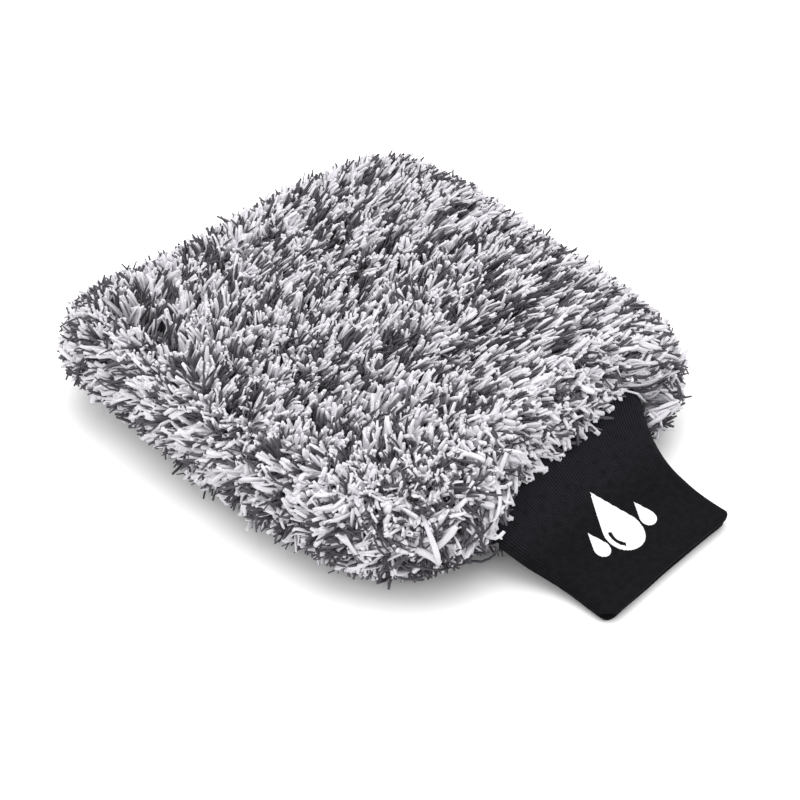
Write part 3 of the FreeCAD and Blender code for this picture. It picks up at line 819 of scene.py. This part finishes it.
def build_inside():
    ground = knit_material("ground_knit_loops", (0.52, 0.51, 0.54), 0.9 * MM, 0.9, 0.2, 0.15 * MM)
    lining = knit_material("lining_weave", (0.085, 0.085, 0.092), 0.6 * MM, 0.85, 0.3, 0.10 * MM, 0.785)
    foam = foam_material()
    for side, word in ((1, "upper"), (-1, "lower")):
        layers = (("ground_fabric", ground, "ground_knit", 1.2 * MM, 14 * MM, 0.25 * MM),
                  ("lining", lining, "lining_fabric", 0.8 * MM, 7.5 * MM, 0.45 * MM))
        for layer, material, slot, thickness, run, wrinkle in layers:
            node = "%s_%s" % (word, layer)
            low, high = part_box(node)
            top = high[2] if side > 0 else low[2]
            inset = OUTLINE[:, 0].max() - high[0]
            lip = top - side * (3.2 * MM if layer == "ground_fabric" else 1.0 * MM)
            edge = SEAM_Z + side * 0.1 * MM
            piece = dome_sheet(node + "_cloth", inset, top, run, edge, thickness, side, lip,
                               wrinkle, material)
            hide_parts(node)
            pad = "%s_foam_pad" % word
        node = "%s_foam_pad" % word
        low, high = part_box(node)
        pad = foam_pad(node, low[2], high[2], foam)
        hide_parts(node)


build_inside()


# ------------------------------------------------------------------ the rib knit cuff
RIBS = 160
RIB_POINTS = 5
STITCH_ROWS = 170
PLY = 1.0 * MM
PLY_GAP = 0.3 * MM
WALL = 2 * PLY + PLY_GAP
END_TURN = 6.5 / 85.0            # the end edge leans this much across its width
END_BOW = 0.9 * MM               # the end edge is drawn in a little at its middle
CORNER = 5.4 * MM
TUCKED_IN = 6 * MM               # how far the cuff's root runs into the body
UNDERLAP = 1.6 * MM              # the lower wall ends this much short of the upper one
FLOOR_GAP = 0.25 * MM            # the cuff never comes nearer the floor than this


def slot_point(u, half, thick):
    """Place and outward normal on the flat tube's section, by share u of its length from the top's middle."""
    straight = half - thick
    arc = math.pi * thick
    total = 4 * straight + 2 * arc
    run = (u % 1.0) * total
    top_right = run < straight
    right = (run >= straight) & (run < straight + arc)
    bottom = (run >= straight + arc) & (run < 3 * straight + arc)
    left = (run >= 3 * straight + arc) & (run < 3 * straight + 2 * arc)
    top_left = run >= 3 * straight + 2 * arc
    turn = (run - straight) / np.maximum(thick, 1e-6)
    back = (run - 3 * straight - arc) / np.maximum(thick, 1e-6)
    part = [top_right, top_left, right, bottom, left]
    x = np.select(part, [run, run - total, straight + thick * np.sin(turn),
                         straight - (run - straight - arc), -straight - thick * np.sin(back)])
    z = np.select(part, [thick, thick, thick * np.cos(turn), -thick, -thick * np.cos(back)])
    nx = np.select(part, [0.0, 0.0, np.sin(turn), 0.0, -np.sin(back)])
    nz = np.select(part, [1.0, 1.0, np.cos(turn), -1.0, -np.cos(back)])
    return x, z, nx, nz


def cuff_end(x):
    """Y of the cuff's end edge: slightly turned, with rounded corners."""
    half, _, _, drift = cuff_at(np.array([CUFF_END_Y]))
    across = x - drift
    bow = END_BOW * np.cos(np.clip(across / half, -1, 1) * math.pi / 2)
    line = CUFF_END_Y + (across + half) * END_TURN + bow
    over = np.clip(np.abs(across) - (half - CORNER), 0, CORNER)
    return line + CORNER - np.sqrt(CORNER ** 2 - over ** 2)


def rib_height(u, y):
    """Rib knit relief: strong where the tube flares at its root, faint further out."""
    strength = 0.24 * MM + 0.85 * MM * np.exp(-np.maximum(CUFF_ROOT_Y - y, 0) / (15 * MM))
    wave = np.abs(np.sin(math.pi * u * RIBS))
    return strength * (wave - 0.5)


CUFF_DROOP = wave_field(31, 42 * MM)


def cuff_point(u, y, inset, ribbed):
    """A point of the cuff's wall: u round it, y along it, inset inwards from the outer skin."""
    half, thick, rise, drift = cuff_at(y)
    x, z, nx, nz = slot_point(u, half - inset, thick - inset)
    plan = np.stack([x, y], -1).reshape(-1, 2)
    wobble = CUFF_DROOP(plan).reshape(x.shape) * 0.45 * MM * np.abs(nz) ** 0.5
    crown = 0.7 * MM * np.cos(np.clip(x / half, -1, 1) * math.pi / 2) * np.sign(nz)
    relief = rib_height(u, y) * ribbed
    height = np.maximum(z + rise + wobble + crown + nz * relief, FLOOR_GAP)
    return np.stack([x + drift + nx * relief, y, height], -1)


def cuff_profile():
    """The folded knit's section along the cuff: share of the reach, inset and how ribbed it is."""
    fold = WALL / 2
    pocket = PLY_GAP / 2
    outer = [(k, 0.0, 1.0, 0.0) for k in np.linspace(0, 1, 64)]
    hem = [(1.0, fold - fold * math.cos(t), 0.6, fold * math.sin(t))
           for t in np.linspace(0, math.pi, 9)[1:-1]]
    inner = [(k, WALL, 1.0, 0.0) for k in np.linspace(1, 0, 22)]
    back_in = [(k, PLY + PLY_GAP, 0.0, 0.0) for k in np.linspace(0, 1, 5)]
    crease = [(1.0, PLY + pocket, 0.0, pocket)]
    back_out = [(k, PLY, 0.0, 0.0) for k in np.linspace(1, 0, 5)]
    return outer + hem + inner + back_in + crease + back_out


def build_cuff():
    material = rib_material()
    columns = RIBS * RIB_POINTS
    u = np.arange(columns) / columns
    profile = cuff_profile()
    grid = []
    end_half, end_thick, _, end_drift = cuff_at(np.array([CUFF_END_Y]))
    across, _, _, facing = slot_point(u, end_half, end_thick)
    end_x = across + end_drift
    ends = cuff_end(end_x) + WALL / 2 + UNDERLAP * (1 - facing) / 2
    for share, inset, ribbed, beyond in profile:
        y = CUFF_ROOT_Y + TUCKED_IN + (ends - CUFF_ROOT_Y - TUCKED_IN) * share - beyond
        grid.append(cuff_point(u, y, inset, ribbed))
    faces = ring_faces(len(profile), columns, closed_rows=True)[:, ::-1]
    piece = new_piece("rib_knit_cuff_cloth", np.concatenate(grid), faces, material, None)
    layer = piece.data.uv_layers.new(name="OFBake")
    rows = len(profile)
    k, j = np.meshgrid(np.arange(rows), np.arange(columns), indexing="ij")
    corners = np.stack([np.stack([j, k], -1), np.stack([j + 1, k], -1),
                        np.stack([j + 1, k + 1], -1), np.stack([j, k + 1], -1)], 2).reshape(-1, 4, 2)[:, ::-1]
    share = np.array([min(1.0, p[0]) for p in profile] + [profile[0][0]])
    skin = np.array([0.0 if p[1] < PLY / 2 else 0.5 for p in profile])
    rows_uv = corners[..., 1]
    base = np.repeat(skin, columns)[:, None]
    v = base + 0.02 + 0.46 * share[rows_uv]
    uv = np.stack([corners[..., 0] / columns, v], -1).reshape(-1, 2)
    layer.data.foreach_set("uv", uv.astype(np.float32).reshape(-1))
    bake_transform(piece)
    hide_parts("rib_knit_cuff")
    return piece


def rib_material():
    """Black 1x1 rib knit: columns of small V stitches mottled by lint, with painted highlight on the rib
    crests and painted shade in the valleys between them.
    """
    material, tree = new_material("rib_knit_black")
    uv = add(tree, "UVMap", {}, "UV", uv_map="OFBake")
    stitches = vector(tree, "MULTIPLY", uv, (RIBS, STITCH_ROWS, 0))
    across = add(tree, "SeparateXYZ", {0: stitches}, "X")
    along = across.node.outputs["Y"]
    centred = compute(tree, "SUBTRACT", compute(tree, "FRACT", across), 0.5)
    arm = compute(tree, "ABSOLUTE", centred)
    turn = compute(tree, "MULTIPLY", compute(tree, "ADD", along, arm), math.pi)
    stitch = compute(tree, "ABSOLUTE", compute(tree, "SINE", turn))
    lint = add(tree, "TexNoise", {"Vector": stitches, "Scale": 0.35, "Detail": 5.0}, "Fac",
               noise_dimensions="2D")
    knit = compute(tree, "MULTIPLY", map_range(tree, stitch, 0.55), lint)
    # painted highlight on the rib crests and painted shade between them, the highlight strongest where the
    # ribs fan out at the root
    fan = map_range(tree, along, 7.0, 1.25, 0.04 * STITCH_ROWS, 0.27 * STITCH_ROWS)
    painted_rib_light_and_shade = map_range(tree, arm, fan, 0.12, 0.0, 0.5)
    color = color_ramp(tree, compute(tree, "MULTIPLY", knit, painted_rib_light_and_shade), 0.05,
                       (0.0011, 0.0011, 0.0017), 1.0, (0.0108, 0.0108, 0.0140))
    normal = add(tree, "Bump", {"Strength": 0.4, "Distance": 0.10 * MM, "Height": stitch})
    return shaded(material, {"Base Color": color, "Normal": normal, "Roughness": 0.82,
                             "Specular IOR Level": 0.09, "Sheen Weight": 0.020,
                             "Sheen Roughness": 0.4})


# ------------------------------------------------------------------ the print
PRINT_LOW, PRINT_HIGH = (np.array(corner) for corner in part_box("cuff_print"))
PRINT_X = (PRINT_LOW[0] + PRINT_HIGH[0]) / 2
DROP_RADIUS = 9.6 * MM
DROP_LENGTH = 30 * MM
SMALL_RADIUS = 3.9 * MM
SMALL_LENGTH = 12.5 * MM
SMALL_SPACING = 14.6 * MM
BELLY_RISE = 8.4 * MM           # from the print's near edge to the big drop's belly


def cuff_top(plan):
    """Height of the cuff's upper skin, ribs included, at plan points."""
    half, thick, _, drift = cuff_at(plan[:, 1])
    straight = half - thick
    total = 4 * straight + 2 * math.pi * thick
    u = ((plan[:, 0] - drift) / total) % 1.0
    return cuff_point(u, plan[:, 1], 0.0, 1.0)[:, 2]


def drop_reach(angle, radius, length):
    """Distance from the belly's centre to a water drop's outline; its tip points along +Y."""
    tip = length - radius
    meet = math.acos(radius / tip)
    from_tip = np.abs((angle - math.pi / 2 + math.pi) % (2 * math.pi) - math.pi)
    return np.where(from_tip < meet, radius / np.cos(from_tip - meet), radius)


def build_drop(name, centre, radius, length, material, shine):
    """One printed drop that follows the ribs, with a curved highlight left open in its belly."""
    rings = 26
    around = 144
    thickness = 0.22 * MM
    angle = np.arange(around) / around * 2 * math.pi
    reach = np.minimum(drop_reach(angle, radius, length), length)
    shares = np.linspace(0.02, 1, rings)
    tops = []
    bottoms = []
    for share in shares:
        plan = np.stack([centre[0] + np.cos(angle) * reach * share,
                         centre[1] + np.sin(angle) * reach * share], 1)
        height = cuff_top(plan)
        edge = thickness * (1 - 0.5 * step_between(0.96, 1.0, share))
        tops.append(np.concatenate([plan, (height + edge)[:, None]], 1))
        bottoms.append(np.concatenate([plan, (height - 0.12 * MM)[:, None]], 1))
    grid = np.concatenate(tops + bottoms[::-1])
    faces = []
    for k in range(2 * rings):
        share_k = shares[k] if k < rings else shares[2 * rings - 1 - k]
        for j in range(around):
            turn = math.degrees(angle[j]) % 360
            opened = shine and 0.56 < share_k < 0.74 and 150 < turn < 232
            if opened and k != rings - 1:
                continue
            after = (k + 1) % (2 * rings)
            side = (j + 1) % around
            faces.append((k * around + j, after * around + j, after * around + side, k * around + side))
    return new_piece(name, grid, faces, material, "cuff")


def ink_material():
    """White rubbery print, slightly worn over the ribs."""
    material, tree = new_material("print_white")
    place = add(tree, "TexCoord", {}, "Object")
    wear = add(tree, "TexNoise", {"Vector": place, "Scale": 420.0, "Detail": 4.0}, "Fac")
    color = color_ramp(tree, wear, 0.30, (0.58, 0.58, 0.59), 0.55, (0.75, 0.75, 0.76))
    normal = add(tree, "Bump", {"Distance": 0.06 * MM, "Height": wear})
    return shaded(material, {"Base Color": color, "Normal": normal, "Roughness": 0.55})


def build_print():
    material = ink_material()
    belly_y = PRINT_LOW[1] + BELLY_RISE
    big = build_drop("cuff_print_drop", (PRINT_X, belly_y), DROP_RADIUS, DROP_LENGTH, material, True)
    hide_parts("cuff_print")
    for side, word in ((-1, "left"), (1, "right")):
        centre = (PRINT_X + side * SMALL_SPACING, belly_y - 1.0 * MM)
        build_drop("cuff_print_%s_drop" % word, centre, SMALL_RADIUS, SMALL_LENGTH, material, False)


# ------------------------------------------------------------------ stitches
def capsule(start, end, radius, lift):
    """Vertices and faces of one stitch: a short bowed thread from start to end."""
    steps = 7
    around = 8
    start, end = np.array(start), np.array(end)
    along = unit(end - start)
    out = unit(np.array(lift))
    side = np.cross(along, out)
    height = np.linalg.norm(lift)
    vertices = []
    for k in range(steps):
        t = k / (steps - 1)
        centre = start + (end - start) * t + out * height * math.sin(math.pi * t)
        size = radius * (0.45 + 0.55 * math.sin(math.pi * t) ** 0.4)
        for j in range(around):
            turn = 2 * math.pi * j / around
            vertices.append(centre + side * size * math.cos(turn) + out * size * math.sin(turn))
    return vertices, capped_faces(steps, around)


def build_side_seam():
    """The row of stitches under the cuff where the knit tube is closed."""
    material = thread_material("cuff_thread_twist", (0.022, 0.022, 0.026))
    low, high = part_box("cuff_side_seam_thread")
    x = (low[0] + high[0]) / 2
    pitch = 4.4 * MM
    vertices = []
    faces = []
    count = int((CUFF_TURNED_Y - low[1]) / pitch)
    for k in range(count):
        y0 = CUFF_TURNED_Y - 1 * MM - k * pitch
        ends = []
        for y in (y0, y0 - 3.1 * MM):
            _, thick, rise, _ = cuff_at(np.array([y]))
            ends.append((x, y, max(float((rise - thick)[0]) - 0.1 * MM, 0.55 * MM)))
        v, f = capsule(ends[0], ends[1], 0.42 * MM, (0, 0, -0.15 * MM))
        faces += [tuple(i + len(vertices) for i in face) for face in f]
        vertices += v
    piece = new_piece("cuff_side_seam_stitches", vertices, faces, material, "cuff")
    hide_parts("cuff_side_seam_thread")


def dress_cad_threads():
    """The seam threads inside keep their CAD shape and get the look of twisted thread."""
    material = thread_material("seam_thread_twist", (0.55, 0.54, 0.57))
    for node in ("perimeter_seam_thread", "lining_seam_thread", "cuff_join_seam_thread"):
        thread = bpy.data.objects[node]
        thread.material_slots[0].material = material


build_cuff()
build_print()
build_side_seam()
dress_cad_threads()


# ------------------------------------------------------------------ floor, light and camera
def build_stage():
    size = 6.0
    mesh = bpy.data.meshes.new("floor")
    half = size / 2
    corners = [(-half, -half, 0), (half, -half, 0), (half, half, 0), (-half, half, 0)]
    mesh.from_pydata(corners, [], [(0, 1, 2, 3)])
    floor = bpy.data.objects.new("floor", mesh)
    bpy.context.scene.collection.objects.link(floor)
    material = new_material("floor_white")[0]
    floor.data.materials.append(shaded(material, {"Base Color": (0.93, 0.93, 0.93, 1),
                                                  "Roughness": 0.9, "Specular IOR Level": 0.1}))


def area_light(name, place, target, size, power, color=(1, 1, 1)):
    data = bpy.data.lights.new(name, "AREA")
    data.shape = "RECTANGLE"
    data.size = size[0]
    data.size_y = size[1]
    data.energy = power
    data.color = color
    lamp = bpy.data.objects.new(name, data)
    aim(lamp, place, target)
    bpy.context.scene.collection.objects.link(lamp)
    return lamp


def aim(thing, place, target):
    thing.location = place
    direction = Vector(target) - Vector(place)
    thing.rotation_euler = direction.to_track_quat("-Z", "Y").to_euler()


def build_light():
    world = bpy.data.worlds.new("studio")
    world.use_nodes = True
    background = world.node_tree.nodes["Background"]
    background.inputs["Color"].default_value = (1.0, 1.0, 1.0, 1)
    background.inputs["Strength"].default_value = 1.12
    bpy.context.scene.world = world
    area_light("overhead_softbox", (0.12, 0.10, 1.25), (0, 0, 0), (1.4, 1.4), 13.5)
    area_light("camera_side_softbox", (-1.05, -0.25, 0.95), (0, 0, 0.02), (0.9, 0.9), 2.8)


def build_camera():
    data = bpy.data.cameras.new("camera")
    data.lens = 107.9
    data.sensor_width = 36
    data.clip_start = 0.05
    camera = bpy.data.objects.new("camera", data)
    aim(camera, (-0.5864, -0.6015, 0.7103), (-0.0139, 0.0009, 0.025))
    bpy.context.scene.collection.objects.link(camera)
    bpy.context.scene.camera = camera


build_stage()
build_light()
build_camera()
bpy.context.scene.view_settings.view_transform = "Standard"
